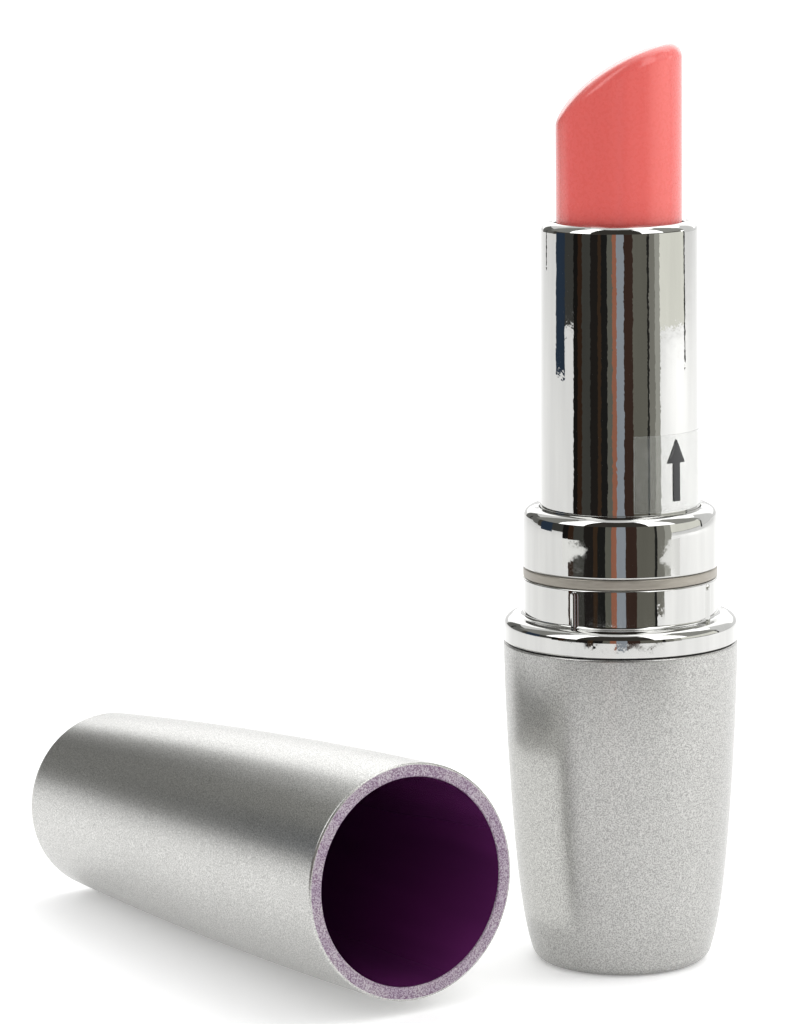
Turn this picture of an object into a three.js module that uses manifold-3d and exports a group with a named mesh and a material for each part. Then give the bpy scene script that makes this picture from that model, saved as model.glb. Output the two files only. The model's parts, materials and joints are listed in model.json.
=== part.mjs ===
// Twist-up lipstick case, open and with the bullet raised, and its cap lying beside it.
// Units are millimetres and +Z is up. The origin is the centre of the base's foot, on the floor.
// The cap lies along +Y, mouth towards -Y. Angles are in degrees, anticlockwise from +X.

import * as THREE from 'three';
import { ConvexGeometry } from 'three/addons/geometries/ConvexGeometry.js';
import { mergeVertices } from 'three/addons/utils/BufferGeometryUtils.js';
import Module from 'manifold-3d';

const wasm = await Module();
wasm.setup();

const FACETS = 48; // sides of every turned piece
const ARC_STEP = 45; // largest angle of one facet on a rounded edge
const RUNNING_GAP = 0.05; // radial clearance between pieces that turn or slide in one another

// Base: a barrel that swells upwards from the foot.
const BASE_HEIGHT = 31.85;
const BASE_RADIUS = 11.43;
const BASE_TAPER = 1.95; // radius lost between the top and the foot
const BASE_SWELL = 1.6; // power of that loss
const FOOT_TAPER = 0.94; // radius lost besides, close to the foot
const FOOT_SWELL = 8; // power of that loss
const BASE_WALL = 1.3;
const FOOT_ROUNDING = 1.6;
const SEAM = 0.1; // shadow gap between the base and the collar's flange

// Lower collar: flange, then a neck with four ribs that grip the cap.
const FLANGE_RADIUS = 11.43;
const FLANGE_TOP = 34.4;
const FLANGE_ROUNDING = 0.9;
const NECK_RADIUS = 9.5;
const NECK_TOP = 38.15;
const EDGE_ROUNDING = 0.15; // of the fine edges
const SKIRT_RADIUS = 9.8; // the part that plugs into the base
const SKIRT_WALL = 1.2;
const SKIRT_BOTTOM = 24.6;
const BOSS_WALL = 1.1; // sleeve that holds the guide tube
const BOSS_BOTTOM = 26.5;
const WEB_THICKNESS = 2.2; // between the skirt and the boss
const RIB_COUNT = 4;
const RIB_HEADING = 25.9;
const RIB_RADIUS = 9.76;
const RIB_HALF_WIDTH = 0.5;
const RIB_TOP = 38;

// Insert and weight inside the base.
const INSERT_BOTTOM = BASE_WALL + 0.05;
const INSERT_TOP = 24.1;
const INSERT_RADIUS = 7;
const INSERT_BORE = 5.9;
const INSERT_FLOOR = 1.2;
const INSERT_ROUNDING = 0.8;
const INSERT_FLANGE = 1.3;
const WEIGHT_LENGTH = 10;

// Grey ring in the joint between the two collars.
const RING_BORE = 8;
const RING_RADIUS = 9.47;
const RING_TOP = 39.2;
const RING_ROUNDING = 0.2;
const JOINT_GAP = 0.02; // above and below the ring

// Upper collar and tube, which turn together.
const COLLAR_RADIUS = 9.55;
const COLLAR_BOTTOM = RING_TOP + JOINT_GAP;
const COLLAR_TOP = 45.08;
const COLLAR_ROUNDING = 1.15;
const TUBE_FOOT_RADIUS = 7.79; // where the tube leaves the collar
const TUBE_LIP_RADIUS = 7.53; // at its open end
const TUBE_TOP = 72.7;
const TUBE_BORE = 7.18;
const LIP_BORE = 6.3;
const LIP_THICKNESS = 0.55;
const LIP_ROUNDING = 0.9;

// Twist-up movement.
const BULLET_RADIUS = 6.05;
const CUP_RADIUS = 6.35;
const CUP_TOP = 71.4;
const CUP_BOTTOM = 59.6;
const CUP_FLOOR = 0.9;
const GUIDE_BORE = CUP_RADIUS + RUNNING_GAP;
const GUIDE_RADIUS = 6.72;
const SPIRAL_BORE = GUIDE_RADIUS + RUNNING_GAP;
const SPIRAL_RADIUS = 7.13;
const SPIRAL_BOTTOM = 39.45;
const SPIRAL_TOP = 71.5;
const GUIDE_BOTTOM = 25.4;
const GUIDE_FOOT_RADIUS = 7.8;
const GUIDE_FOOT = 1; // thickness of the flange at the guide tube's lower end
const GUIDE_RIM = 0.5; // and of the one at its upper end, which holds the cam down
const TRAVEL = 20;
const LEAD = 16; // rise of the bullet for each turn
const LUG_RADIUS = 0.55;
const LUG_HEIGHT = 61.5;
const LUG_REACH = 7.05;
const LUG_ROOT = 0.2; // how far a lug starts inside the cup's wall
const SLOT_HALF_WIDTH = 0.66;
const CUT_MARGIN = 0.4; // how far a slot's cut passes through both faces of its wall
const LUG_HEADINGS = [0, 180];

// Bullet's tip: a convex slant with rolled edges, low on one side.
const SLANT_HEADING = 143.5; // the way the slant faces
const CROWN_TOP = 90.2;
const CROWN_RADIUS = 20;
const CROWN_OFFSET = 9.4; // the crown would be level this far behind the axis
const TIP_ROLL = 1.6;

// Clear label wrapped on the tube.
const LABEL_START = -116.5;
const LABEL_SWEEP = 120;
const LABEL_BOTTOM = 45.35;
const LABEL_TOP = 52.7;
const LABEL_GAP = 0.02;
const LABEL_THICKNESS = 0.08;

// Cap, measured along its own axis from the mouth.
const CAP_LENGTH = 60;
const CAP_STEPS = 6; // straight lengths along its curved side
const CAP_MOUTH_RADIUS = 11.26;
const CAP_TAPER = 1.95; // radius lost at the closed end, with the square of the way along
const CAP_WALL = 1.36;
const CAP_END_WALL = 1.6;
const CAP_END_ROUNDING = 1.2;
const CAP_INNER_ROUNDING = 0.8;
const CAP_DROOP = 3.07; // the closed end lies lower than the mouth
const CAP_MOUTH_X = -27.9;
const CAP_MOUTH_Y = -4.9;

const MATERIALS = {
  silver: { color: 0xb9b9b7, roughness: 0.42, metalness: 0.75 },
  chrome: { color: 0xe6e6e8, roughness: 0.04, metalness: 1 },
  ring_grey: { color: 0x8d8880, roughness: 0.6, metalness: 0 },
  coral: { color: 0xe26460, roughness: 0.35, metalness: 0 },
  clear_film: { color: 0xf4f6f4, roughness: 0.12, metalness: 0, transparent: true, opacity: 0.35 },
  white_plastic: { color: 0xe9e7e2, roughness: 0.45, metalness: 0 },
  steel: { color: 0x8f9296, roughness: 0.35, metalness: 1 },
  silicone: { color: 0x3a3b3d, roughness: 0.7, metalness: 0 },
};

const radians = THREE.MathUtils.degToRad;

// ---- Solids ----

function solidFrom(geometry) {
  geometry.deleteAttribute('normal');
  geometry.deleteAttribute('uv');
  const merged = mergeVertices(geometry, 1e-4);
  const triangles = [];
  const index = merged.index.array;
  for (let i = 0; i < index.length; i += 3) {
    const [a, b, c] = index.slice(i, i + 3);
    if (a !== b && b !== c && c !== a) {
      triangles.push(a, b, c);
    }
  }
  return new wasm.Manifold(new wasm.Mesh({
    numProp: 3,
    vertProperties: new Float32Array(merged.attributes.position.array),
    triVerts: new Uint32Array(triangles),
  }));
}

function piece(name, solid, materialName) {
  const mesh = solid.getMesh();
  const geometry = new THREE.BufferGeometry();
  geometry.setAttribute('position', new THREE.BufferAttribute(new Float32Array(mesh.vertProperties), 3));
  geometry.setIndex(new THREE.BufferAttribute(new Uint32Array(mesh.triVerts), 1));
  geometry.computeVertexNormals();
  const material = new THREE.MeshStandardMaterial(MATERIALS[materialName]);
  material.name = materialName;
  const result = new THREE.Mesh(geometry, material);
  result.name = name;
  return result;
}

// Replaces a corner by an arc that touches both of its edges.
function filletArc(before, corner, after, radius) {
  const toBefore = before.clone().sub(corner).normalize();
  const toAfter = after.clone().sub(corner).normalize();
  const half = Math.acos(toBefore.dot(toAfter)) / 2;
  const centre = toBefore.clone().add(toAfter).setLength(radius / Math.sin(half)).add(corner);
  const start = toBefore.multiplyScalar(radius / Math.tan(half)).add(corner).sub(centre);
  const end = toAfter.multiplyScalar(radius / Math.tan(half)).add(corner).sub(centre);
  const sweep = Math.atan2(start.cross(end), start.dot(end));
  const steps = Math.ceil(Math.abs(sweep) / radians(ARC_STEP));
  return Array.from({ length: steps + 1 }, (_, step) =>
    start.clone().rotateAround(new THREE.Vector2(), (sweep * step) / steps).add(centre));
}

// An outline of [radius, height, fillet] corners, anticlockwise, as points.
function outlineOf(corners) {
  const points = corners.map(([x, y]) => new THREE.Vector2(x, y));
  const count = points.length;
  return points.flatMap((point, i) => {
    const fillet = corners[i][2];
    if (!fillet) {
      return [point];
    }
    return filletArc(points[(i + count - 1) % count], point, points[(i + 1) % count], fillet);
  });
}

// Turns an outline about Z. It starts and ends on the axis, or else is closed into a ring.
function turned(corners) {
  const outline = outlineOf(corners);
  if (outline[0].x > 0) {
    outline.push(outline[0]);
  }
  const geometry = new THREE.LatheGeometry(outline, FACETS);
  geometry.rotateX(Math.PI / 2);
  return solidFrom(geometry);
}

function plainRing(inner, outer, bottom, top) {
  return turned([[inner, bottom], [outer, bottom], [outer, top], [inner, top]]);
}

// The corners of an eight-sided peg that points outwards from the axis.
function pegCorners(radius, from, to, heading, height) {
  const length = to - from;
  const peg = new THREE.CylinderGeometry(radius, radius, length, 8);
  peg.rotateZ(-Math.PI / 2);
  peg.translate(from + length / 2, 0, height);
  peg.rotateZ(radians(heading));
  const position = peg.attributes.position;
  const corner = (_, i) => new THREE.Vector3().fromBufferAttribute(position, i);
  return Array.from({ length: position.count }, corner);
}

// The room swept by a peg that moves straight from one place to the next.
function sweptPeg(radius, from, to, places) {
  const corners = places.map(([heading, height]) => pegCorners(radius, from, to, heading, height));
  const lengths = corners.slice(1).map((next, i) => solidFrom(new ConvexGeometry([...corners[i], ...next])));
  return lengths.reduce((whole, length) => whole.add(length));
}

// A slot through the whole wall of a tube, along the places its peg passes.
function slotCut(bore, radius, places) {
  return sweptPeg(SLOT_HALF_WIDTH, bore - CUT_MARGIN, radius + CUT_MARGIN, places);
}

// ---- Base ----

function baseRadius(height) {
  const drop = 1 - height / BASE_HEIGHT;
  return BASE_RADIUS - BASE_TAPER * drop ** BASE_SWELL - FOOT_TAPER * drop ** FOOT_SWELL;
}

function baseShell() {
  const steps = 6;
  const heights = Array.from({ length: steps + 1 }, (_, i) => BASE_HEIGHT * (i / steps));
  const outside = heights.map((height) => [baseRadius(height), height]);
  outside[0].push(FOOT_ROUNDING);
  outside[steps].push(EDGE_ROUNDING);
  const inside = heights.slice(1).reverse().map((height) => [baseRadius(height) - BASE_WALL, height]);
  const corner = [baseRadius(BASE_WALL) - BASE_WALL, BASE_WALL, INSERT_ROUNDING];
  return turned([[0, 0], ...outside, ...inside, corner, [0, BASE_WALL]]);
}

function baseInsert() {
  const rim = SKIRT_RADIUS - 2 * RUNNING_GAP;
  return turned([
    [0, INSERT_BOTTOM],
    [INSERT_RADIUS, INSERT_BOTTOM, INSERT_ROUNDING],
    [INSERT_RADIUS, INSERT_TOP - INSERT_FLANGE],
    [rim, INSERT_TOP - INSERT_FLANGE],
    [rim, INSERT_TOP],
    [INSERT_BORE, INSERT_TOP],
    [INSERT_BORE, INSERT_BOTTOM + INSERT_FLOOR],
    [0, INSERT_BOTTOM + INSERT_FLOOR],
  ]);
}

function baseWeight() {
  const bottom = INSERT_BOTTOM + INSERT_FLOOR + RUNNING_GAP;
  const radius = INSERT_BORE - RUNNING_GAP;
  return turned([
    [0, bottom],
    [radius, bottom],
    [radius, bottom + WEIGHT_LENGTH],
    [0, bottom + WEIGHT_LENGTH],
  ]);
}

function lowerCollar() {
  const bore = GUIDE_RADIUS + RUNNING_GAP;
  const boss = bore + BOSS_WALL;
  const web = FLANGE_TOP - WEB_THICKNESS;
  const underside = BASE_HEIGHT + SEAM;
  const body = turned([
    [bore, BOSS_BOTTOM],
    [boss, BOSS_BOTTOM],
    [boss, web],
    [SKIRT_RADIUS - SKIRT_WALL, web],
    [SKIRT_RADIUS - SKIRT_WALL, SKIRT_BOTTOM],
    [SKIRT_RADIUS, SKIRT_BOTTOM],
    [SKIRT_RADIUS, underside],
    [FLANGE_RADIUS, underside, EDGE_ROUNDING],
    [FLANGE_RADIUS, FLANGE_TOP, FLANGE_ROUNDING],
    [NECK_RADIUS, FLANGE_TOP, EDGE_ROUNDING],
    [NECK_RADIUS, NECK_TOP, EDGE_ROUNDING],
    [bore, NECK_TOP],
  ]);
  const ribs = Array.from({ length: RIB_COUNT }, (_, i) => {
    const heading = RIB_HEADING + (360 * i) / RIB_COUNT;
    const places = [[heading, FLANGE_TOP], [heading, RIB_TOP - RIB_HALF_WIDTH]];
    return sweptPeg(RIB_HALF_WIDTH, NECK_RADIUS - RIB_HALF_WIDTH, RIB_RADIUS, places);
  });
  return ribs.reduce((whole, rib) => whole.add(rib), body);
}

function sealRing() {
  const bottom = NECK_TOP + JOINT_GAP;
  return turned([
    [RING_BORE, bottom],
    [RING_RADIUS, bottom, RING_ROUNDING],
    [RING_RADIUS, RING_TOP, RING_ROUNDING],
    [RING_BORE, RING_TOP],
  ]);
}

// The inner tube that stays with the base: its two straight slots stop the cup from turning.
function guideTube() {
  const rim = SPIRAL_RADIUS - RUNNING_GAP;
  const underRim = SPIRAL_TOP + RUNNING_GAP;
  const body = turned([
    [GUIDE_BORE, GUIDE_BOTTOM],
    [GUIDE_FOOT_RADIUS, GUIDE_BOTTOM],
    [GUIDE_FOOT_RADIUS, GUIDE_BOTTOM + GUIDE_FOOT],
    [GUIDE_RADIUS, GUIDE_BOTTOM + GUIDE_FOOT],
    [GUIDE_RADIUS, underRim],
    [rim, underRim],
    [rim, underRim + GUIDE_RIM],
    [GUIDE_BORE, underRim + GUIDE_RIM],
  ]);
  return LUG_HEADINGS.reduce((tube, heading) => {
    const places = [[heading, LUG_HEIGHT - TRAVEL], [heading, LUG_HEIGHT]];
    return tube.subtract(slotCut(GUIDE_BORE, GUIDE_RADIUS, places));
  }, body);
}

// ---- Turning pieces ----

const tubeRadius = (height) => THREE.MathUtils.mapLinear(
  height, COLLAR_TOP, TUBE_TOP, TUBE_FOOT_RADIUS, TUBE_LIP_RADIUS);

function sleeveTube() {
  const bottom = COLLAR_BOTTOM + RUNNING_GAP;
  return turned([
    [TUBE_BORE, bottom],
    [TUBE_FOOT_RADIUS, bottom],
    [TUBE_FOOT_RADIUS, COLLAR_TOP],
    [TUBE_LIP_RADIUS, TUBE_TOP, LIP_ROUNDING],
    [LIP_BORE, TUBE_TOP, EDGE_ROUNDING],
    [LIP_BORE, TUBE_TOP - LIP_THICKNESS],
    [TUBE_BORE, TUBE_TOP - LIP_THICKNESS],
  ]);
}

function upperCollar() {
  const bore = TUBE_FOOT_RADIUS + RUNNING_GAP;
  return turned([
    [bore, COLLAR_BOTTOM],
    [COLLAR_RADIUS, COLLAR_BOTTOM, EDGE_ROUNDING],
    [COLLAR_RADIUS, COLLAR_TOP, COLLAR_ROUNDING],
    [bore, COLLAR_TOP],
  ]);
}

// The cam: two helical slots that drive the cup's lugs down as the tube turns anticlockwise.
function spiralCam() {
  const fullTurn = (TRAVEL / LEAD) * 360;
  const steps = 20;
  const body = plainRing(SPIRAL_BORE, SPIRAL_RADIUS, SPIRAL_BOTTOM, SPIRAL_TOP);
  return LUG_HEADINGS.reduce((tube, heading) => {
    const places = Array.from({ length: steps + 1 }, (_, i) => {
      const turn = (fullTurn * i) / steps;
      return [heading - turn, LUG_HEIGHT - (LEAD * turn) / 360];
    });
    return tube.subtract(slotCut(SPIRAL_BORE, SPIRAL_RADIUS, places));
  }, body);
}

// A rubber ring between the fixed collar and the cam, which gives the twist its drag.
function frictionRing() {
  const section = 0.5;
  const sides = 6;
  const radius = GUIDE_RADIUS + RUNNING_GAP + section;
  const height = NECK_TOP + RUNNING_GAP + section;
  return turned(Array.from({ length: sides }, (_, i) => {
    const angle = (2 * Math.PI * i) / sides;
    return [radius + section * Math.cos(angle), height + section * Math.sin(angle)];
  }));
}

function clearLabel() {
  const inner = (height) => tubeRadius(height) + LABEL_GAP;
  const wrap = turned([
    [inner(LABEL_BOTTOM), LABEL_BOTTOM],
    [inner(LABEL_BOTTOM) + LABEL_THICKNESS, LABEL_BOTTOM],
    [inner(LABEL_TOP) + LABEL_THICKNESS, LABEL_TOP],
    [inner(LABEL_TOP), LABEL_TOP],
  ]);
  const reach = 2 * TUBE_FOOT_RADIUS;
  const sector = new THREE.Shape();
  sector.moveTo(0, 0);
  sector.lineTo(reach * Math.cos(radians(LABEL_START)), reach * Math.sin(radians(LABEL_START)));
  sector.absarc(0, 0, reach, radians(LABEL_START), radians(LABEL_START + LABEL_SWEEP));
  sector.closePath();
  const wedge = new THREE.ExtrudeGeometry(sector, { depth: TUBE_TOP, bevelEnabled: false, curveSegments: 6 });
  return wrap.intersect(solidFrom(wedge));
}

// ---- Rising pieces ----

function carrierCup() {
  const bore = BULLET_RADIUS + JOINT_GAP;
  const cup = turned([
    [0, CUP_BOTTOM],
    [CUP_RADIUS, CUP_BOTTOM, EDGE_ROUNDING],
    [CUP_RADIUS, CUP_TOP],
    [bore, CUP_TOP],
    [bore, CUP_BOTTOM + CUP_FLOOR],
    [0, CUP_BOTTOM + CUP_FLOOR],
  ]);
  return LUG_HEADINGS.reduce((whole, heading) => {
    const corners = pegCorners(LUG_RADIUS, CUP_RADIUS - LUG_ROOT, LUG_REACH, heading, LUG_HEIGHT);
    return whole.add(solidFrom(new ConvexGeometry(corners)));
  }, cup);
}

// Height of the slanted crown, given the way across it and the distance from the axis.
function crownHeight(across, radius) {
  const run = across + CROWN_OFFSET;
  const rise = Math.sqrt(CROWN_RADIUS ** 2 - run ** 2);
  const past = Math.max(0, radius - (BULLET_RADIUS - TIP_ROLL));
  const roll = TIP_ROLL - Math.sqrt(Math.max(0, TIP_ROLL ** 2 - past ** 2));
  return CROWN_TOP - CROWN_RADIUS + rise - (roll * rise) / CROWN_RADIUS;
}

function bullet() {
  const bottom = CUP_BOTTOM + CUP_FLOOR + JOINT_GAP;
  const rolled = [90, 60, 30, 0].map((angle) => BULLET_RADIUS - TIP_ROLL * (1 - Math.sin(radians(angle))));
  const inner = [0.55, 0.3].map((share) => BULLET_RADIUS * share);
  const outline = [
    new THREE.Vector2(0, bottom),
    new THREE.Vector2(BULLET_RADIUS, bottom),
    ...[...rolled, ...inner, 0].map((radius) => new THREE.Vector2(radius, CROWN_TOP)),
  ];
  const geometry = new THREE.LatheGeometry(outline, FACETS);
  geometry.rotateX(Math.PI / 2);
  const position = geometry.attributes.position;
  const slant = new THREE.Vector2(1, 0).rotateAround(new THREE.Vector2(), radians(SLANT_HEADING));
  for (let i = 0; i < position.count; i += 1) {
    const place = new THREE.Vector2(position.getX(i), position.getY(i));
    if (position.getZ(i) > CUP_TOP) {
      position.setZ(i, crownHeight(place.dot(slant), place.length()));
    }
  }
  return solidFrom(geometry);
}

// ---- Cap ----

function capRadius(along) {
  return CAP_MOUTH_RADIUS - CAP_TAPER * (along / CAP_LENGTH) ** 2;
}

const CAP_STATIONS = Array.from({ length: CAP_STEPS + 1 }, (_, i) => CAP_LENGTH * (i / CAP_STEPS));

function capShell() {
  const depth = CAP_LENGTH - CAP_END_WALL;
  const outside = CAP_STATIONS.map((along) => [capRadius(along), along]);
  outside[0].push(EDGE_ROUNDING);
  outside[outside.length - 1].push(CAP_END_ROUNDING);
  const inside = CAP_STATIONS.slice(0, -1).reverse().map((along) => [capRadius(along) - CAP_WALL, along]);
  inside[inside.length - 1].push(EDGE_ROUNDING);
  const corner = [capRadius(depth) - CAP_WALL, depth, CAP_INNER_ROUNDING];
  return turned([[0, depth], corner, ...inside, ...outside, [0, CAP_LENGTH]]);
}

// Height of the mouth's centre when the drooping cap touches the floor.
function capRestHeight() {
  const droop = radians(CAP_DROOP);
  const reaches = CAP_STATIONS.map((along) => capRadius(along) * Math.cos(droop) + along * Math.sin(droop));
  return Math.max(...reaches);
}

// ---- The object ----

const fixed = new THREE.Group();
fixed.add(
  piece('base_shell', baseShell(), 'silver'),
  piece('base_insert', baseInsert(), 'white_plastic'),
  piece('base_weight', baseWeight(), 'steel'),
  piece('lower_collar', lowerCollar(), 'chrome'),
  piece('seal_ring', sealRing(), 'ring_grey'),
  piece('guide_tube', guideTube(), 'white_plastic'),
);

const turning = new THREE.Group();
turning.add(
  piece('upper_collar', upperCollar(), 'chrome'),
  piece('sleeve_tube', sleeveTube(), 'chrome'),
  piece('spiral_cam', spiralCam(), 'white_plastic'),
  piece('friction_ring', frictionRing(), 'silicone'),
  piece('clear_label', clearLabel(), 'clear_film'),
);

const rising = new THREE.Group();
rising.add(
  piece('carrier_cup', carrierCup(), 'white_plastic'),
  piece('bullet', bullet(), 'coral'),
);

const cap = piece('cap_shell', capShell(), 'silver');
cap.position.set(CAP_MOUTH_X, CAP_MOUTH_Y, capRestHeight());
cap.rotation.x = radians(-90 - CAP_DROOP);

const group = new THREE.Group();
group.name = 'lipstick_case';
group.add(fixed, turning, rising, cap);

export default group;
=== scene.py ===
"""Looks of the twist-up lipstick case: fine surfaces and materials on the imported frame.

Lengths are metres, +Z is up, angles are degrees anticlockwise from +X, seen from above.
The case stands on the origin and the cap lies beside it, along +Y with its mouth towards -Y.
"""

import json
import math

import bpy
from mathutils import Matrix, Vector


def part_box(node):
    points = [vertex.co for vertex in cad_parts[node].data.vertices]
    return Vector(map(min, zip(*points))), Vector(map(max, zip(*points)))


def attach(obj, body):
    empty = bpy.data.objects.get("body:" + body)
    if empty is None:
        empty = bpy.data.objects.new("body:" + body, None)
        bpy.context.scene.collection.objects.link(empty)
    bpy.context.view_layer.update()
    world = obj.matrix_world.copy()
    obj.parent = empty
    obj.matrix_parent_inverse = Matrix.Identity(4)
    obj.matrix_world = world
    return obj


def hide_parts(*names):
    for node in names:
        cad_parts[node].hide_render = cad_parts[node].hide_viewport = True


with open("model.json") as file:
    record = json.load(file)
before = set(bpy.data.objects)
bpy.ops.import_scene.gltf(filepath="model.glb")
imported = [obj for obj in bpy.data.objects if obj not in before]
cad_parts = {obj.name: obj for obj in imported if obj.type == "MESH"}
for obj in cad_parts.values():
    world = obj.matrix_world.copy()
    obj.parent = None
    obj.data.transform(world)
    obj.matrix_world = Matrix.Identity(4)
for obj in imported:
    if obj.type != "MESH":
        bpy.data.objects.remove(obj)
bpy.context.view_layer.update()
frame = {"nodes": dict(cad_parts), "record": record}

MM = 0.001
AROUND = 192  # sides of every turned surface
ARC_STEP = 9  # largest angle of one facet on a rounded edge

MOUNTS = {mount["name"]: mount for mount in frame["record"]["mounts"]}


def radius_of(node):
    """Largest radius of a node that is turned about the case's axis."""
    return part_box(node)[1][0]


def span_of(node):
    """Lowest and highest z of a node."""
    low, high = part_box(node)
    return low[2], high[2]


# ---- Outlines ----


ON_AXIS = 1e-9  # a radius below this is a point of the axis


class Point:
    """A point of an outline. normal is None where the surface has a crease."""

    def __init__(self, radius, height, normal=None, slot=0):
        self.place = Vector((radius, height))
        self.normal = normal
        self.slot = slot  # material of the surface that starts here


def side_normal(start, end):
    """Outward normal of the surface from start to end of an anticlockwise outline."""
    along = (end - start).normalized()
    return Vector((along.y, -along.x))


def fillet(before, corner, after, radius, slot):
    """Points of the arc that rounds a corner, with exact normals."""
    to_before = (before - corner).normalized()
    to_after = (after - corner).normalized()
    half = to_before.angle(to_after) / 2
    centre = corner + (to_before + to_after).normalized() * radius / math.sin(half)
    start = corner + to_before * radius / math.tan(half) - centre
    end = corner + to_after * radius / math.tan(half) - centre
    sweep = math.atan2(start.x * end.y - start.y * end.x, start.dot(end))
    outward = 1 if sweep > 0 else -1
    steps = max(3, math.ceil(abs(math.degrees(sweep)) / ARC_STEP))
    points = []
    for step in range(steps + 1):
        arm = start.copy()
        arm.rotate(Matrix.Rotation(sweep * step / steps, 2))
        place = centre + arm
        points.append(Point(place.x, place.y, arm.normalized() * outward, slot))
    return points


def outline(corners):
    """An anticlockwise outline from (radius, height, fillet, slot) corners.

    A fillet of None marks a point of a smooth curve.
    """
    places = [Vector(corner[:2]) for corner in corners]
    count = len(corners)
    points = []
    for i, corner in enumerate(corners):
        rounding = corner[2] if len(corner) > 2 else 0
        slot = corner[3] if len(corner) > 3 else 0
        before = places[i - 1]
        after = places[(i + 1) % count]
        if rounding is None:
            normal = side_normal(before, places[i]) + side_normal(places[i], after)
            points.append(Point(*places[i], normal.normalized(), slot))
        elif rounding:
            points.extend(fillet(before, places[i], after, rounding, slot))
        else:
            points.append(Point(*places[i], None, slot))
    return points


# ---- Meshes ----


class Builder:
    """Collects faces with their corner normals and materials, then makes one mesh object."""

    def __init__(self):
        self.places = []
        self.faces = []
        self.normals = []
        self.slots = []

    def face(self, corners, normals=None, slot=0):
        self.faces.append(corners)
        self.normals.extend(normals or [(0, 0, 0)] * len(corners))
        self.slots.append(slot)

    def turn(self, points):
        """Turns an outline about Z. It runs from axis to axis, or else closes into a ring."""
        rings = []
        for point in points:
            radius, height = point.place
            if radius < ON_AXIS:
                rings.append([len(self.places)] * AROUND)
                self.places.append((0, 0, height))
                continue
            rings.append(list(range(len(self.places), len(self.places) + AROUND)))
            for side in range(AROUND):
                angle = 2 * math.pi * side / AROUND
                self.places.append((radius * math.cos(angle), radius * math.sin(angle), height))
        closed = points[0].place.x > ON_AXIS
        for i in range(len(points) if closed else len(points) - 1):
            start, end = points[i], points[(i + 1) % len(points)]
            low, high = rings[i], rings[(i + 1) % len(points)]
            flat = side_normal(start.place, end.place)
            ends = (start.normal or flat, end.normal or flat)
            for side in range(AROUND):
                self.turned_face(low, high, side, ends, start.slot)

    def turned_face(self, low, high, side, ends, slot):
        """One face between two rings, or a triangle where one ring is a point of the axis."""
        follow = (side + 1) % AROUND
        ring = [
            (low[side], side, 0),
            (low[follow], side + 1, 0),
            (high[follow], side + 1, 1),
            (high[side], side, 1),
        ]
        corners = []
        normals = []
        for vertex, turn, end in ring:
            if vertex in corners:
                continue
            angle = 2 * math.pi * turn / AROUND
            out, up = ends[end]
            corners.append(vertex)
            normals.append((out * math.cos(angle), out * math.sin(angle), up))
        self.face(corners, normals, slot)

    def sheet(self, rows, slot=0, closed=False):
        """A grid of points, smooth all over. closed joins the ends of each row."""
        first = len(self.places)
        width = len(rows[0])
        for row in rows:
            self.places.extend(row)
        for j in range(len(rows) - 1):
            for i in range(width if closed else width - 1):
                left, right = first + j * width + i, first + j * width + (i + 1) % width
                self.face([left, right, right + width, left + width], None, slot)

    def underside(self, start, count):
        """Closes a ring of points that begins at start, facing down."""
        self.face(list(range(start, start + count))[::-1])

    def build(self, name, materials, place=None):
        mesh = bpy.data.meshes.new(name)
        mesh.from_pydata(self.places, [], self.faces)
        for polygon, slot in zip(mesh.polygons, self.slots):
            polygon.material_index = slot
            polygon.use_smooth = True
        mesh.normals_split_custom_set([Vector(normal) for normal in self.normals])
        for material in materials:
            mesh.materials.append(material)
        if place:
            mesh.transform(place)
        piece = bpy.data.objects.new(name, mesh)
        bpy.context.scene.collection.objects.link(piece)
        return piece


def turned_piece(name, corners, materials, body, node, place=None):
    builder = Builder()
    builder.turn(outline(corners))
    piece = builder.build(name, materials, place)
    return finish_piece(piece, body, node)


def finish_piece(piece, body, node):
    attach(piece, body)
    if node:
        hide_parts(node)
    return piece


# ---- Materials ----


NOISE_LOW = 0.3  # nearly all of a noise texture's values lie between these two
NOISE_HIGH = 0.7


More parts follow.
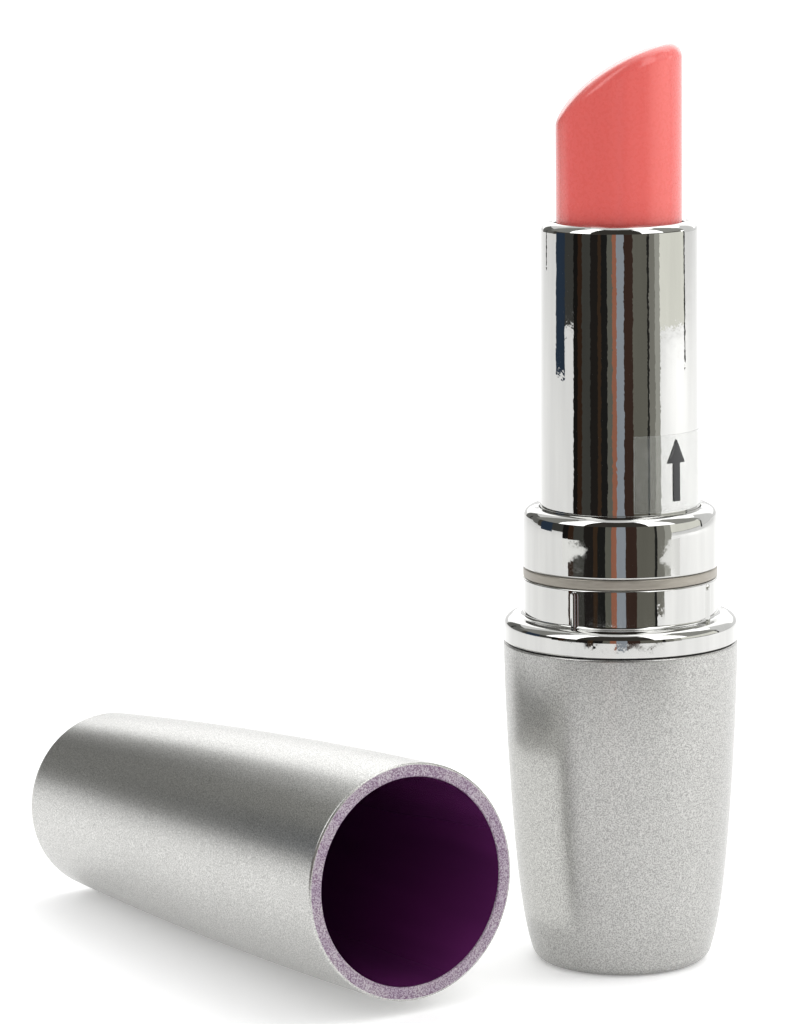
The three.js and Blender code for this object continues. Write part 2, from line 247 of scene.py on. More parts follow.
class Nodes:
    """Short calls for a material's nodes."""

    def __init__(self, name):
        self.material = bpy.data.materials.new(name)
        self.material.use_nodes = True
        self.tree = self.material.node_tree
        self.shader = self.tree.nodes["Principled BSDF"]
        self.place = self.add("ShaderNodeTexCoord").outputs["Object"]

    def add(self, kind, **values):
        node = self.tree.nodes.new(kind)
        for name, value in values.items():
            setattr(node, name, value)
        return node

    def set(self, **values):
        for name, value in values.items():
            self.shader.inputs[name.replace("_", " ")].default_value = value

    def join(self, output, socket):
        self.tree.links.new(output, socket)

    def noise(self, scale, detail=2, stretch=(1, 1, 1)):
        mapping = self.add("ShaderNodeMapping")
        mapping.inputs["Scale"].default_value = stretch
        noise = self.add("ShaderNodeTexNoise")
        noise.inputs["Scale"].default_value = scale
        noise.inputs["Detail"].default_value = detail
        self.join(self.place, mapping.inputs["Vector"])
        self.join(mapping.outputs["Vector"], noise.inputs["Vector"])
        return noise.outputs["Fac"]

    def shade(self, value, first, second, start=NOISE_LOW, end=NOISE_HIGH):
        """A colour that goes from first to second as a value goes from start to end."""
        ramp = self.add("ShaderNodeValToRGB")
        stops = ((start, first), (end, second))
        for element, (position, colour) in zip(ramp.color_ramp.elements, stops):
            element.position = position
            element.color = (*colour, 1)
        self.join(value, ramp.inputs["Fac"])
        return ramp.outputs["Color"]

    def span(self, value, low, high):
        """Maps the usual range of a noise value to low to high."""
        node = self.add("ShaderNodeMapRange")
        node.inputs["From Min"].default_value = NOISE_LOW
        node.inputs["From Max"].default_value = NOISE_HIGH
        node.inputs["To Min"].default_value = low
        node.inputs["To Max"].default_value = high
        self.join(value, node.inputs["Value"])
        return node.outputs["Result"]

    def multiply(self, first, second):
        """The product of two colours."""
        node = self.add("ShaderNodeMix", data_type="RGBA", blend_type="MULTIPLY")
        factor, colour_a, colour_b = (node.inputs[i] for i in (0, 6, 7))
        factor.default_value = 1.0
        self.join(first, colour_a)
        self.join(second, colour_b)
        return node.outputs[2]

    def bump(self, height, strength, distance, below=None):
        node = self.add("ShaderNodeBump")
        node.inputs["Strength"].default_value = strength
        node.inputs["Distance"].default_value = distance
        self.join(height, node.inputs["Height"])
        if below:
            self.join(below, node.inputs["Normal"])
        return node.outputs["Normal"]

    def colour(self, output):
        self.join(output, self.shader.inputs["Base Color"])

    def roughness(self, output):
        self.join(output, self.shader.inputs["Roughness"])

    def normal(self, output):
        self.join(output, self.shader.inputs["Normal"])


def silver_spray(name, roughness, tone_and_painted_light):
    """Sprayed metallic paint: fine flakes that catch the light one by one, over faint clouding."""
    nodes = Nodes(name)
    nodes.set(Metallic=1.0)
    flakes = nodes.noise(8200, 1)
    dust = nodes.noise(15000, 1)
    clouds = nodes.noise(90, 3)
    # This colour factor sets the paint's tone. For the cap it also holds painted light: a brighter copy of
    # the base's silver.
    dark = [0.31 * channel for channel in tone_and_painted_light]
    light = [0.54 * channel for channel in tone_and_painted_light]
    flake_colour = nodes.shade(flakes, dark, light, 0.36, 0.64)
    cloud_colour = nodes.shade(clouds, (0.95, 0.95, 0.94), (1, 1, 0.99))
    nodes.colour(nodes.multiply(flake_colour, cloud_colour))
    nodes.roughness(nodes.span(dust, roughness, roughness + 0.1))
    coarse = nodes.bump(flakes, 0.22, 0.012 * MM)
    nodes.normal(nodes.bump(dust, 0.15, 0.006 * MM, coarse))
    return nodes.material


def speckled_rim(name):
    """The cap's cut edge, where the silver overspray thins out over the purple plastic."""
    nodes = Nodes(name)
    nodes.set(Metallic=0.45, Roughness=0.5)
    speckle = nodes.noise(7000, 2)
    fade = nodes.noise(420, 2)
    purple = (0.17, 0.10, 0.165)
    silver = (0.47, 0.44, 0.46)
    speckled = nodes.shade(speckle, purple, silver, 0.36, 0.64)
    worn = nodes.shade(fade, (0.80, 0.72, 0.84), (1, 1, 1))
    nodes.colour(nodes.multiply(speckled, worn))
    nodes.normal(nodes.bump(speckle, 0.4, 0.03 * MM))
    return nodes.material


def purple_plastic(name):
    """Clear purple plastic seen from inside the cap: glossy, and deep because its back is sprayed."""
    nodes = Nodes(name)
    nodes.set(Roughness=0.16, IOR=1.52, Coat_Weight=0.3, Coat_Roughness=0.08)
    flow = nodes.noise(130, 2, (1, 0.15, 1))
    nodes.colour(nodes.shade(flow, (0.068, 0.011, 0.066), (0.115, 0.017, 0.108)))
    nodes.normal(nodes.bump(flow, 0.05, 0.05 * MM))
    return nodes.material


def chrome(name, waviness, ripple, ripple_scale):
    """Bright plating over the waviness and fine orange peel of the plastic, with hairline wiping marks."""
    nodes = Nodes(name)
    nodes.set(Metallic=1.0)
    wipes = nodes.noise(900, 3, (1, 1, 0.08))
    swell = nodes.noise(230, 1)
    peel = nodes.noise(ripple_scale, 2, (1, 1, 0.6))
    nodes.colour(nodes.shade(wipes, (0.495, 0.495, 0.483), (0.545, 0.545, 0.53)))
    nodes.roughness(nodes.span(wipes, 0.015, 0.04))
    under = nodes.bump(swell, waviness, 0.2 * MM)
    nodes.normal(nodes.bump(peel, ripple, 0.02 * MM, under))
    return nodes.material


def coral_wax(name):
    """Coral pink bullet: light sinks a little way in, and the skin has a soft gloss."""
    nodes = Nodes(name)
    nodes.set(Roughness=0.3, IOR=1.45, Subsurface_Weight=0.08, Subsurface_Scale=1.2 * MM)
    nodes.set(Coat_Weight=0.35, Coat_Roughness=0.12)
    nodes.set(Subsurface_Radius=(1.0, 0.35, 0.3))
    streaks = nodes.noise(500, 2, (1, 1, 0.06))
    grain = nodes.noise(2600, 2)
    nodes.colour(nodes.shade(streaks, (0.63, 0.096, 0.084), (0.665, 0.108, 0.096)))
    nodes.roughness(nodes.span(grain, 0.24, 0.32))
    nodes.normal(nodes.bump(grain, 0.02, 0.004 * MM))
    return nodes.material


def matt_plastic(name, colour, roughness, grain_scale=2500):
    """Moulded plastic or rubber with a fine grain and slight colour variation."""
    nodes = Nodes(name)
    grain = nodes.noise(grain_scale, 3)
    darker = [0.88 * channel for channel in colour]
    nodes.colour(nodes.shade(grain, darker, colour))
    nodes.roughness(nodes.span(grain, roughness * 0.85, roughness))
    nodes.normal(nodes.bump(grain, 0.15, 0.02 * MM))
    return nodes.material


def satin_ring(name):
    """Warm grey satin plastic with a little metallic sheen and faint turning lines."""
    nodes = Nodes(name)
    nodes.set(Metallic=0.6)
    lines = nodes.noise(700, 3, (1, 1, 6))
    nodes.colour(nodes.shade(lines, (0.27, 0.25, 0.215), (0.33, 0.305, 0.265)))
    nodes.roughness(nodes.span(lines, 0.32, 0.42))
    nodes.normal(nodes.bump(lines, 0.1, 0.01 * MM))
    return nodes.material


def brushed_steel(name):
    """Turned steel with lines across its axis."""
    nodes = Nodes(name)
    nodes.set(Metallic=1.0)
    lines = nodes.noise(400, 3, (1, 1, 14))
    nodes.colour(nodes.shade(lines, (0.36, 0.37, 0.38), (0.52, 0.53, 0.54)))
    nodes.roughness(nodes.span(lines, 0.28, 0.42))
    return nodes.material


def clear_film(name, alpha):
    """Self-adhesive film: nearly clear, with tiny trapped bubbles that catch the light."""
    nodes = Nodes(name)
    nodes.set(Roughness=0.12, IOR=1.49, Alpha=alpha)
    bubbles = nodes.noise(1500, 1)
    nodes.colour(nodes.shade(bubbles, (0.72, 0.75, 0.73), (0.9, 0.92, 0.91), 0.45, 0.75))
    nodes.normal(nodes.bump(bubbles, 0.06, 0.02 * MM))
    return nodes.material


SILVER = silver_spray("silver_spray", 0.27, (1.00, 0.995, 0.975))
# Painted light: the cap wears the same silver spray as the base, painted brighter to stand in for the way
# light falls on the lying cap.
CAP_SILVER_PAINTED_LIGHTER = silver_spray("cap_silver_spray_painted_lighter", 0.27, (1.24, 1.235, 1.21))
RIM = speckled_rim("cap_rim_speckle")
PURPLE = purple_plastic("cap_purple")
TUBE_CHROME = chrome("tube_chrome", 0.05, 0.30, 1700)
COLLAR_CHROME = chrome("collar_chrome", 0.12, 0.15, 1300)
CORAL = coral_wax("coral_wax")
RING_GREY = satin_ring("ring_grey")
WHITE_PLASTIC = matt_plastic("white_plastic", (0.80, 0.78, 0.74), 0.45)
SILICONE = matt_plastic("silicone", (0.05, 0.05, 0.055), 0.7, 900)
STEEL = brushed_steel("weight_steel")
FILM = clear_film("label_film", 0.04)
FILM_EDGE = clear_film("label_film_edge", 0.8)
INK = matt_plastic("label_ink", (0.018, 0.018, 0.02), 0.5, 5000)

# ---- Base ----

BASE_TAPER = 1.95 * MM  # radius lost from the top of the base to its foot
BASE_SWELL = 1.6  # power of that loss
FOOT_TAPER = 0.94 * MM  # radius lost besides, close to the foot
FOOT_SWELL = 8
FOOT_ROUNDING = 1.5 * MM
BASE_WALL = 1.3 * MM
BASE_EDGE_ROUNDING = 0.22 * MM  # at the open top, outside
BASE_BORE_ROUNDING = 0.2 * MM  # and inside
BASE_FLOOR_ROUNDING = 0.8 * MM
FLOOR_SHARE = 0.05  # share of the base's height where its inner side meets its floor


def base_shell():
    height = span_of("base_shell")[1]
    top_radius = radius_of("base_shell")
    steps = 40
    outer_start, inner_end = 3, 4  # steps left out for the roundings at the foot and at the floor

    def side(share):
        drop = 1 - share
        return top_radius - BASE_TAPER * drop**BASE_SWELL - FOOT_TAPER * drop**FOOT_SWELL

    corners = [(0, 0), (side(0), 0, FOOT_ROUNDING)]
    for i in range(outer_start, steps):
        corners.append((side(i / steps), height * i / steps, None))
    corners.append((side(1), height, BASE_EDGE_ROUNDING))
    corners.append((side(1) - BASE_WALL, height, BASE_BORE_ROUNDING))
    for i in range(steps - 1, inner_end, -1):
        corners.append((side(i / steps) - BASE_WALL, height * i / steps, None))
    corners.append((side(FLOOR_SHARE) - BASE_WALL, BASE_WALL, BASE_FLOOR_ROUNDING))
    corners.append((0, BASE_WALL))
    return turned_piece("base_shell_fine", corners, [SILVER], "base", "base_shell")


# ---- Collars ----

NECK_RADIUS = 9.5 * MM
COLLAR_BORE = 6.77 * MM
RIB_COUNT = 4
RIB_HEADING = 25.9
RIB_HALF_WIDTH = 0.56 * MM
RIB_PROUD = 0.26 * MM
RIB_ROOT = 0.03 * MM  # how far a rib's edges sink into the neck
RIB_TOP_GAP = 0.12 * MM  # from a rib's end to the top of the neck
SEAM = 0.1 * MM  # shadow gap between the base and the flange
FLANGE_UNDERCUT = 1.4 * MM  # width of the flange's flat underside
FLANGE_ROUNDING = 0.95 * MM
FLANGE_EDGE = 0.2 * MM
NECK_FOOT_ROUNDING = 0.3 * MM
NECK_EDGE = 0.16 * MM
RING_DEPTH = 1.3 * MM
RING_ROUNDING = 0.2 * MM


def add_rib(builder, heading, foot, top):
    """An upright ridge with a rounded section and a rounded top end. Its edges lie inside the neck."""
    across, along = 12, 40
    rows = []
    for j in range(along + 1):
        height = foot + (top - foot) * j / along
        past = max(0.0, height - (top - RIB_HALF_WIDTH)) / RIB_HALF_WIDTH
        half = RIB_HALF_WIDTH * math.sqrt(max(0.0, 1 - past**2))
        row = []
        for i in range(across + 1):
            share = 2 * i / across - 1
            swell = (1 + math.cos(math.pi * share)) / 2
            lift = RIB_PROUD * swell * math.sqrt(half / RIB_HALF_WIDTH)
            radius = NECK_RADIUS - RIB_ROOT + lift
            angle = math.radians(heading) + share * half / NECK_RADIUS
            row.append((radius * math.cos(angle), radius * math.sin(angle), height))
        rows.append(row)
    builder.sheet(rows)


def lower_collar():
    neck_top = span_of("lower_collar")[1]
    flange_radius = radius_of("lower_collar")
    flange_top = MOUNTS["cap_seat"]["pos_m"][2]
    flange_bottom = span_of("base_shell")[1] + SEAM
    builder = Builder()
    builder.turn(outline([
        (COLLAR_BORE, flange_bottom),
        (flange_radius - FLANGE_UNDERCUT, flange_bottom),
        (flange_radius, flange_bottom, FLANGE_EDGE),
        (flange_radius, flange_top, FLANGE_ROUNDING),
        (NECK_RADIUS, flange_top, NECK_FOOT_ROUNDING),
        (NECK_RADIUS, neck_top, NECK_EDGE),
        (COLLAR_BORE, neck_top),
    ]))
    for i in range(RIB_COUNT):
        add_rib(builder, RIB_HEADING + 360 * i / RIB_COUNT, flange_top, neck_top - RIB_TOP_GAP)
    piece = builder.build("lower_collar_fine", [COLLAR_CHROME])
    return finish_piece(piece, "base", "lower_collar")


def seal_ring():
    low, high = span_of("seal_ring")
    radius = radius_of("seal_ring")
    inner = radius - RING_DEPTH
    corners = [
        (inner, low),
        (radius, low, RING_ROUNDING),
        (radius, high, RING_ROUNDING),
        (inner, high),
    ]
    return turned_piece("seal_ring_fine", corners, [RING_GREY], "base", "seal_ring")


SLEEVE_GAP = 0.06 * MM  # between the upper collar and the tube
COLLAR_EDGE = 0.2 * MM
SHOULDER_HEIGHT = 1.5 * MM  # of the upper collar, which leans in a little towards its top
SHOULDER_LEAN = 0.29 * MM
SHOULDER_CURVE = 6.5 * MM  # radius of the gentle bend where the lean begins
SHOULDER_ROUNDING = 1.0 * MM
COLLAR_BORE_EDGE = 0.12 * MM


def upper_collar():
    low, high = span_of("upper_collar")
    radius = radius_of("upper_collar")
    bore = radius_of("sleeve_tube") + SLEEVE_GAP
    corners = [
        (bore, low),
        (radius, low, COLLAR_EDGE),
        (radius, high - SHOULDER_HEIGHT, SHOULDER_CURVE),
        (radius - SHOULDER_LEAN, high, SHOULDER_ROUNDING),
        (bore, high, COLLAR_BORE_EDGE),
    ]
    materials = [COLLAR_CHROME]
    return turned_piece("upper_collar_fine", corners, materials, "sleeve", "upper_collar")


# ---- Tube, film and mark ----

TUBE_FOOT_RADIUS = radius_of("sleeve_tube")
TUBE_LIP_RADIUS = 7.53 * MM
TUBE_BORE = 7.18 * MM
LIP_BORE = 6.3 * MM
LIP_THICKNESS = 0.55 * MM
LIP_ROUNDING = 0.9 * MM
LIP_EDGE = 0.16 * MM


def tube_radius(height):
    foot, lip = span_of("upper_collar")[1], span_of("sleeve_tube")[1]
    share = (height - foot) / (lip - foot)
    return TUBE_FOOT_RADIUS + (TUBE_LIP_RADIUS - TUBE_FOOT_RADIUS) * share


def sleeve_tube():
    low, high = span_of("sleeve_tube")
    corners = [
        (TUBE_BORE, low),
        (TUBE_FOOT_RADIUS, low),
        (TUBE_FOOT_RADIUS, span_of("upper_collar")[1]),
        (TUBE_LIP_RADIUS, high, LIP_ROUNDING),
        (LIP_BORE, high, LIP_EDGE),
        (LIP_BORE, high - LIP_THICKNESS),
        (TUBE_BORE, high - LIP_THICKNESS),
    ]
    return turned_piece("sleeve_tube_fine", corners, [TUBE_CHROME], "sleeve", "sleeve_tube")


FILM_START = -116.5
FILM_SWEEP = 120
FILM_OFFSET = 0.02 * MM
FILM_THICKNESS = 0.07 * MM


def on_tube(heading, height, lift):
    radius = tube_radius(height) + lift
    angle = math.radians(heading)
    return (radius * math.cos(angle), radius * math.sin(angle), height)


def clear_label():
    low, high = span_of("clear_label")
    steps = 96
    builder = Builder()
    headings = [FILM_START + FILM_SWEEP * i / steps for i in range(steps + 1)]
    inner, outer = FILM_OFFSET, FILM_OFFSET + FILM_THICKNESS
    builder.sheet([[on_tube(h, z, outer) for h in headings] for z in (low, high)])
    builder.sheet([[on_tube(h, z, inner) for h in headings] for z in (high, low)])
    builder.sheet([[on_tube(h, low, lift) for h in headings] for lift in (inner, outer)], 1)
    builder.sheet([[on_tube(h, high, lift) for h in headings] for lift in (outer, inner)], 1)
    for heading, order in ((headings[0], (inner, outer)), (headings[-1], (outer, inner))):
        builder.sheet([[on_tube(heading, z, lift) for lift in order] for z in (low, high)], 1)
    piece = builder.build("clear_label_fine", [FILM, FILM_EDGE])
    return finish_piece(piece, "sleeve", "clear_label")


MARK_HEADING = -82.5
MARK_HALF_WIDTH = 1.15 * MM
MARK_BOTTOM_MARGIN = 0.9 * MM
MARK_TOP_MARGIN = 0.45 * MM
MARK_HEAD = 2.3 * MM  # length of the arrow's head
MARK_SHAFT = 0.42 * MM  # half its shaft's width
MARK_TIP = 0.01 * MM  # half the width left at its point
MARK_LIFT = 0.01 * MM  # above the film


def arrow_mark():
    """A plain upward arrow printed on the film, as an inlay wrapped round the tube."""
    low, high = span_of("clear_label")
    bottom = low + MARK_BOTTOM_MARGIN
    tip = high - MARK_TOP_MARGIN
    head = tip - MARK_HEAD
    rows = [(bottom, MARK_SHAFT), (head, MARK_SHAFT), (head, MARK_HALF_WIDTH), (tip, MARK_TIP)]
    lift = FILM_OFFSET + FILM_THICKNESS + MARK_LIFT
    columns = 12
    builder = Builder()
    for (start, start_half), (end, end_half) in zip(rows[::2], rows[1::2]):
        grid = []
        for height, half in ((start, start_half), (end, end_half)):
            reach = math.degrees(half / TUBE_FOOT_RADIUS)
            headings = [MARK_HEADING + reach * (2 * i / columns - 1) for i in range(columns + 1)]
            grid.append([on_tube(heading, height, lift) for heading in headings])
        builder.sheet(grid)
    piece = builder.build("label_arrow", [INK])
    return finish_piece(piece, "sleeve", None)


# ---- Bullet ----

SLANT_HEADING = 143.5  # the way the slant faces
CROWN_TOP = 90.2 * MM
CROWN_RADIUS = 20 * MM
CROWN_OFFSET = 9.4 * MM  # the crown would be level this far behind the axis
TIP_ROLL = 1.6 * MM  # rounding of the crown's edge


def bullet():
    low = span_of("bullet")[0]
    rim = radius_of("bullet")
    roll_steps = 10
    inner_steps = 16
    wall_steps = 24
    slant = Vector((math.cos(math.radians(SLANT_HEADING)), math.sin(math.radians(SLANT_HEADING))))

    def top(x, y):
        run = slant.dot((x, y)) + CROWN_OFFSET
        rise = math.sqrt(CROWN_RADIUS**2 - run**2)
        past = max(0.0, math.hypot(x, y) - (rim - TIP_ROLL))
        roll = TIP_ROLL - math.sqrt(max(0.0, TIP_ROLL**2 - past**2))
        return CROWN_TOP - CROWN_RADIUS + rise - roll * rise / CROWN_RADIUS

    angles = [2 * math.pi * i / AROUND for i in range(AROUND)]
    circle = [(math.cos(angle), math.sin(angle)) for angle in angles]
    turns = [math.radians(90 * i / roll_steps) for i in range(roll_steps + 1)]
    rolled = [rim - TIP_ROLL * (1 - math.cos(turn)) for turn in turns]
    inner = [(rim - TIP_ROLL) * (1 - i / inner_steps) for i in range(1, inner_steps)]
    rows = [[(rim * x, rim * y, low) for x, y in circle]]
    for i in range(1, wall_steps):
        share = i / wall_steps
        rows.append([(rim * x, rim * y, low + (top(rim * x, rim * y) - low) * share) for x, y in circle])
    for radius in rolled + inner:
        rows.append([(radius * x, radius * y, top(radius * x, radius * y)) for x, y in circle])
    builder = Builder()
    builder.sheet(rows, closed=True)
    builder.underside(0, AROUND)
    centre = len(builder.places)
    builder.places.append((0, 0, top(0, 0)))
    last = centre - AROUND
    for i in range(AROUND):
        builder.face([last + i, last + (i + 1) % AROUND, centre])
    piece = builder.build("bullet_fine", [CORAL])
    return finish_piece(piece, "carrier", "bullet")


# ---- Cap ----

CAP_LENGTH = 60 * MM
CAP_MOUTH_RADIUS = 11.26 * MM
CAP_TAPER = 1.95 * MM
CAP_WALL = 1.36 * MM
CAP_END_WALL = 1.6 * MM
CAP_END_ROUNDING = 1.25 * MM
CAP_INNER_ROUNDING = 0.8 * MM
CAP_MOUTH_ROUNDING = 0.22 * MM
CAP_BORE_ROUNDING = 0.16 * MM


def cap_place():
    """Where the cap lies: its closed end's centre and its axis are a mount of the record."""
    end = MOUNTS["cap_end"]
    along = Vector(end["axis"]).normalized()
    mouth = Vector(end["pos_m"]) - along * CAP_LENGTH
    across = Vector((1, 0, 0))
    turn = Matrix((across, along.cross(across), along)).transposed().to_4x4()
    return Matrix.Translation(mouth) @ turn


def cap_shell():
    steps = 48
    inner_start = steps - 3  # the last steps make room for the rounding inside the closed end
    silver, rim, purple = 0, 1, 2

    def side(share):
        return CAP_MOUTH_RADIUS - CAP_TAPER * share**2

    depth = CAP_LENGTH - CAP_END_WALL
    inner_end = side(depth / CAP_LENGTH) - CAP_WALL
    corners = [(0, depth, 0, purple), (inner_end, depth, CAP_INNER_ROUNDING, purple)]
    for i in range(inner_start, 0, -1):
        corners.append((side(i / steps) - CAP_WALL, CAP_LENGTH * i / steps, None, purple))
    corners.append((side(0) - CAP_WALL, 0, CAP_BORE_ROUNDING, rim))
    corners.append((side(0), 0, CAP_MOUTH_ROUNDING, silver))
    for i in range(1, steps - 1):
        corners.append((side(i / steps), CAP_LENGTH * i / steps, None, silver))
    corners.append((side(1), CAP_LENGTH, CAP_END_ROUNDING, silver))
    corners.append((0, CAP_LENGTH, 0, silver))
    materials = [CAP_SILVER_PAINTED_LIGHTER, RIM, PURPLE]
    return turned_piece("cap_shell_fine", corners, materials, "cap", "cap_shell", cap_place())


# ---- Inner pieces keep their frame shape ----

INNER = {
    "base_insert": WHITE_PLASTIC,
    "base_weight": STEEL,
    "guide_tube": WHITE_PLASTIC,
    "spiral_cam": WHITE_PLASTIC,
    "friction_ring": SILICONE,
    "carrier_cup": WHITE_PLASTIC,
}


def dress_inner_pieces():
    for node, material in INNER.items():
        slots = frame["nodes"][node].material_slots
        for slot in slots:
            slot.material = material


# ---- Studio ----

# The camera stands at this heading from the case's axis, this far off and this high.
CAMERA_HEADING = -126.48
CAMERA_DISTANCE = 0.3511
CAMERA_HEIGHT = 0.0972
CAMERA_AIM = 56.93  # heading it looks along
CAMERA_DIP = 8.53
CAMERA_ROLL = -0.71
CAMERA_LENS = 127.97
CAMERA_SENSOR = 36


def at_heading(heading, distance, height=0.0):
    angle = math.radians(heading)
    return Vector((distance * math.cos(angle), distance * math.sin(angle), height))


def camera():
    aim = at_heading(CAMERA_AIM, math.cos(math.radians(CAMERA_DIP)), -math.sin(math.radians(CAMERA_DIP)))
    right = aim.cross(Vector((0, 0, 1))).normalized()
    up = right.cross(aim)
    level = Matrix((right, up, -aim)).transposed()
    roll = Matrix.Rotation(math.radians(CAMERA_ROLL), 3, "Z")
    data = bpy.data.cameras.new("camera")
    data.sensor_width = CAMERA_SENSOR
    data.lens = CAMERA_LENS
    data.clip_start = 0.01
    data.clip_end = 60
    result = bpy.data.objects.new("camera", data)
    place = at_heading(CAMERA_HEADING, CAMERA_DISTANCE, CAMERA_HEIGHT)
    result.matrix_world = Matrix.Translation(place) @ (level @ roll).to_4x4()
    bpy.context.scene.collection.objects.link(result)
    bpy.context.scene.camera = result


def glow(name, colour):
    """An even emitting surface, used for the studio's cards."""
    material = bpy.data.materials.new(name)
    material.use_nodes = True
    tree = material.node_tree
    tree.nodes.clear()
    emission = tree.nodes.new("ShaderNodeEmission")
    emission.inputs["Color"].default_value = (*colour, 1)
    output = tree.nodes.new("ShaderNodeOutputMaterial")
    tree.links.new(emission.outputs["Emission"], output.inputs["Surface"])
    return material


def card(name, colour, sides, distance, low, high, lean=0.0, pointed=False):
    """A curved card round the case, seen only in reflections.

    Its sides are headings counted from the camera's. Its upper edge stands closer to the case by lean.
    A pointed card narrows to nothing at its second side.
    """
    steps = 24
    start, end = sides
    middle = (low + high) / 2
    rows = []
    for height, reach in ((low, distance), (high, distance - lean)):
        row = []
        for i in range(steps + 1):
            share = i / steps
            heading = CAMERA_HEADING + start + (end - start) * share
            level = height + (middle - height) * share if pointed else height
            row.append(tuple(at_heading(heading, reach, level)))
        rows.append(row)
    builder = Builder()
    builder.sheet(rows)
    result = builder.build(name, [glow(name, colour)])
    result.visible_camera = False
    result.visible_diffuse = False
    result.visible_shadow = False
    result.visible_transmission = False


NEAR = 0.19  # distance of the stripes from the case
FAR = 0.45  # distance of the room's horizon and windows
BACK = 0.5  # distance of the cards behind
BESIDE = 0.0155  # distance of the light that fills the gap between the case and the cap
STRIPES_LOW = 0.0005
STRIPES_TOP = 0.105
STRIPES_END = 60
NOTCH_NEARER = 0.005  # how far the notches stand in front of the stripes
HORIZON_TOP = 0.20
WINDOW_TOP = 0.62
WINDOW_LEAN = 0.25
WALL_TOP = 0.55
WALL_LEAN = 0.2
PAPER_WHITE = (1.35, 1.35, 1.33)
WINDOW_WHITE = (2.8, 2.8, 2.8)
THREAD_BLACK = (0.03, 0.03, 0.03)

# Stripes of the room that the bright pieces mirror: name, colour, side where it starts, lower edge.
STRIPES = (
    ("black", (0.014, 0.013, 0.012), -69, 0.018),
    ("umber", (0.048, 0.025, 0.015), -62, STRIPES_LOW),
    ("slate", (0.076, 0.076, 0.068), -55, STRIPES_LOW),
    ("coal", (0.023, 0.020, 0.018), -42, STRIPES_LOW),
    ("bistre", (0.062, 0.038, 0.023), -31, STRIPES_LOW),
    ("soot", (0.019, 0.019, 0.018), -26, STRIPES_LOW),
    ("olive", (0.18, 0.18, 0.15), -17, STRIPES_LOW),
    ("copper", (0.47, 0.19, 0.12), -10, STRIPES_LOW),
    ("sky", (0.42, 0.46, 0.52), -4, STRIPES_LOW),
    ("brown", (0.062, 0.036, 0.028), 6.5, STRIPES_LOW),
    ("moss", (0.20, 0.195, 0.165), 19, STRIPES_LOW),
    ("line", (0.027, 0.027, 0.025), 40, STRIPES_LOW),
    ("ash", (0.31, 0.305, 0.27), 43, 0.004),
    ("pearl", (0.54, 0.54, 0.49), 52, 0.008),
)

# Shorter stripes beside them: name, colour, sides, lower edge.
SHORT_STRIPES = (
    ("ink", (0.034, 0.054, 0.088), (-104, -85), 0.0395),
    ("khaki", (0.07, 0.07, 0.065), (-85, -69), 0.047),
    ("linen", (1.2, 1.2, 1.1), (60, 107), 0.047),
    ("thread_left", THREAD_BLACK, (-134, -131), 0.054),
    ("thread_right", THREAD_BLACK, (107, 110), 0.0405),
)


def stripe_cards():
    """The stripes of the dim room, with a white notch in each side where the upper collar mirrors them."""
    ends = [start for _, _, start, _ in STRIPES[1:]] + [STRIPES_END]
    for (name, colour, start, low), end in zip(STRIPES, ends):
        card(f"card_{name}", colour, (start, end), NEAR, low, STRIPES_TOP)
    front = NEAR - NOTCH_NEARER
    card("card_notch_left", PAPER_WHITE, (-70, -37), front, 0.0100, 0.0170, pointed=True)
    card("card_notch_right", PAPER_WHITE, (72, 45), front, 0.0085, 0.0175, pointed=True)
    for name, colour, sides, low in SHORT_STRIPES:
        card(f"card_{name}", colour, sides, NEAR, low, STRIPES_TOP)


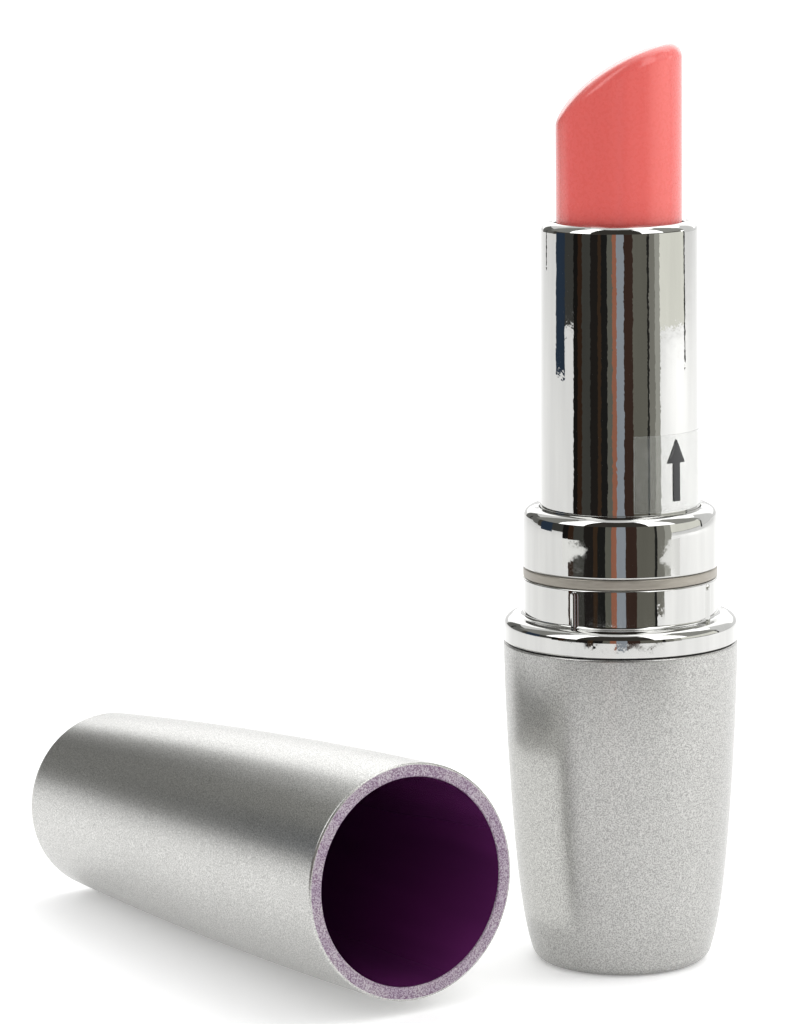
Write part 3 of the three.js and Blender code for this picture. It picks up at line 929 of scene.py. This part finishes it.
def room_cards():
    """The room's horizon, windows and walls, which the roundings, the base and the cap mirror."""
    card("card_room", (0.08, 0.075, 0.065), (-112, 104), FAR, 0.050, HORIZON_TOP)
    card("card_gap", (0.06, 0.055, 0.048), (-44, 34), FAR, HORIZON_TOP, WINDOW_TOP, WINDOW_LEAN)
    card("card_window_left", WINDOW_WHITE, (-80, -44), FAR, HORIZON_TOP, WINDOW_TOP, WINDOW_LEAN)
    card("card_window_right", WINDOW_WHITE, (34, 70), FAR, HORIZON_TOP, WINDOW_TOP, WINDOW_LEAN)
    card("card_wall_left", (0.35, 0.35, 0.33), (-125, -80), FAR, HORIZON_TOP, WALL_TOP, WALL_LEAN)
    card("card_wall_right", (0.45, 0.45, 0.42), (70, 115), FAR, HORIZON_TOP, WALL_TOP, WALL_LEAN)
    card("card_glow", PAPER_WHITE, (-112, -42), BESIDE, 0.001, 0.0205)
    card("card_back_left", (0.20, 0.20, 0.19), (-150, -112), BACK, 0.055, 0.32)
    card("card_back_white", (1.9, 1.9, 1.9), (146, 208), BACK, 0.12, 0.52)


def floor():
    size = 12
    mesh = bpy.data.meshes.new("floor")
    corners = [(-size, -size, 0), (size, -size, 0), (size, size, 0), (-size, size, 0)]
    mesh.from_pydata(corners, [], [(0, 1, 2, 3)])
    nodes = Nodes("floor_paper")
    nodes.set(Roughness=0.7)
    fibre = nodes.noise(900, 3)
    nodes.colour(nodes.shade(fibre, (0.90, 0.90, 0.90), (0.93, 0.93, 0.93)))
    nodes.set(Emission_Color=(1, 1, 1, 1), Emission_Strength=0.22)
    mesh.materials.append(nodes.material)
    result = bpy.data.objects.new("floor", mesh)
    bpy.context.scene.collection.objects.link(result)


LIT_HEIGHT = 0.04  # height of the point on the case's axis that the lights face
WORLD_STRENGTH = 1.02


def softbox(name, side, distance, height, size, power):
    """An area light at a heading counted from the camera's, turned to the case."""
    data = bpy.data.lights.new(name, "AREA")
    data.shape = "RECTANGLE"
    data.size, data.size_y = size
    data.energy = power
    result = bpy.data.objects.new(name, data)
    place = at_heading(CAMERA_HEADING + side, distance, height)
    result.location = place
    result.rotation_euler = (Vector((0, 0, LIT_HEIGHT)) - place).to_track_quat("-Z", "Y").to_euler()
    bpy.context.scene.collection.objects.link(result)


def studio():
    world = bpy.data.worlds.new("studio")
    world.use_nodes = True
    background = world.node_tree.nodes["Background"]
    background.inputs["Color"].default_value = (1, 1, 1, 1)
    background.inputs["Strength"].default_value = WORLD_STRENGTH
    bpy.context.scene.world = world
    softbox("softbox_top", 150, 0.35, 0.75, (0.7, 0.7), 2.0)
    softbox("softbox_right", 95, 0.6, 0.35, (0.4, 0.5), 1.6)
    floor()
    stripe_cards()
    room_cards()
    bpy.context.scene.view_settings.view_transform = "Standard"


camera()
studio()
base_shell()
lower_collar()
seal_ring()
upper_collar()
sleeve_tube()
clear_label()
arrow_mark()
bullet()
cap_shell()
dress_inner_pieces()
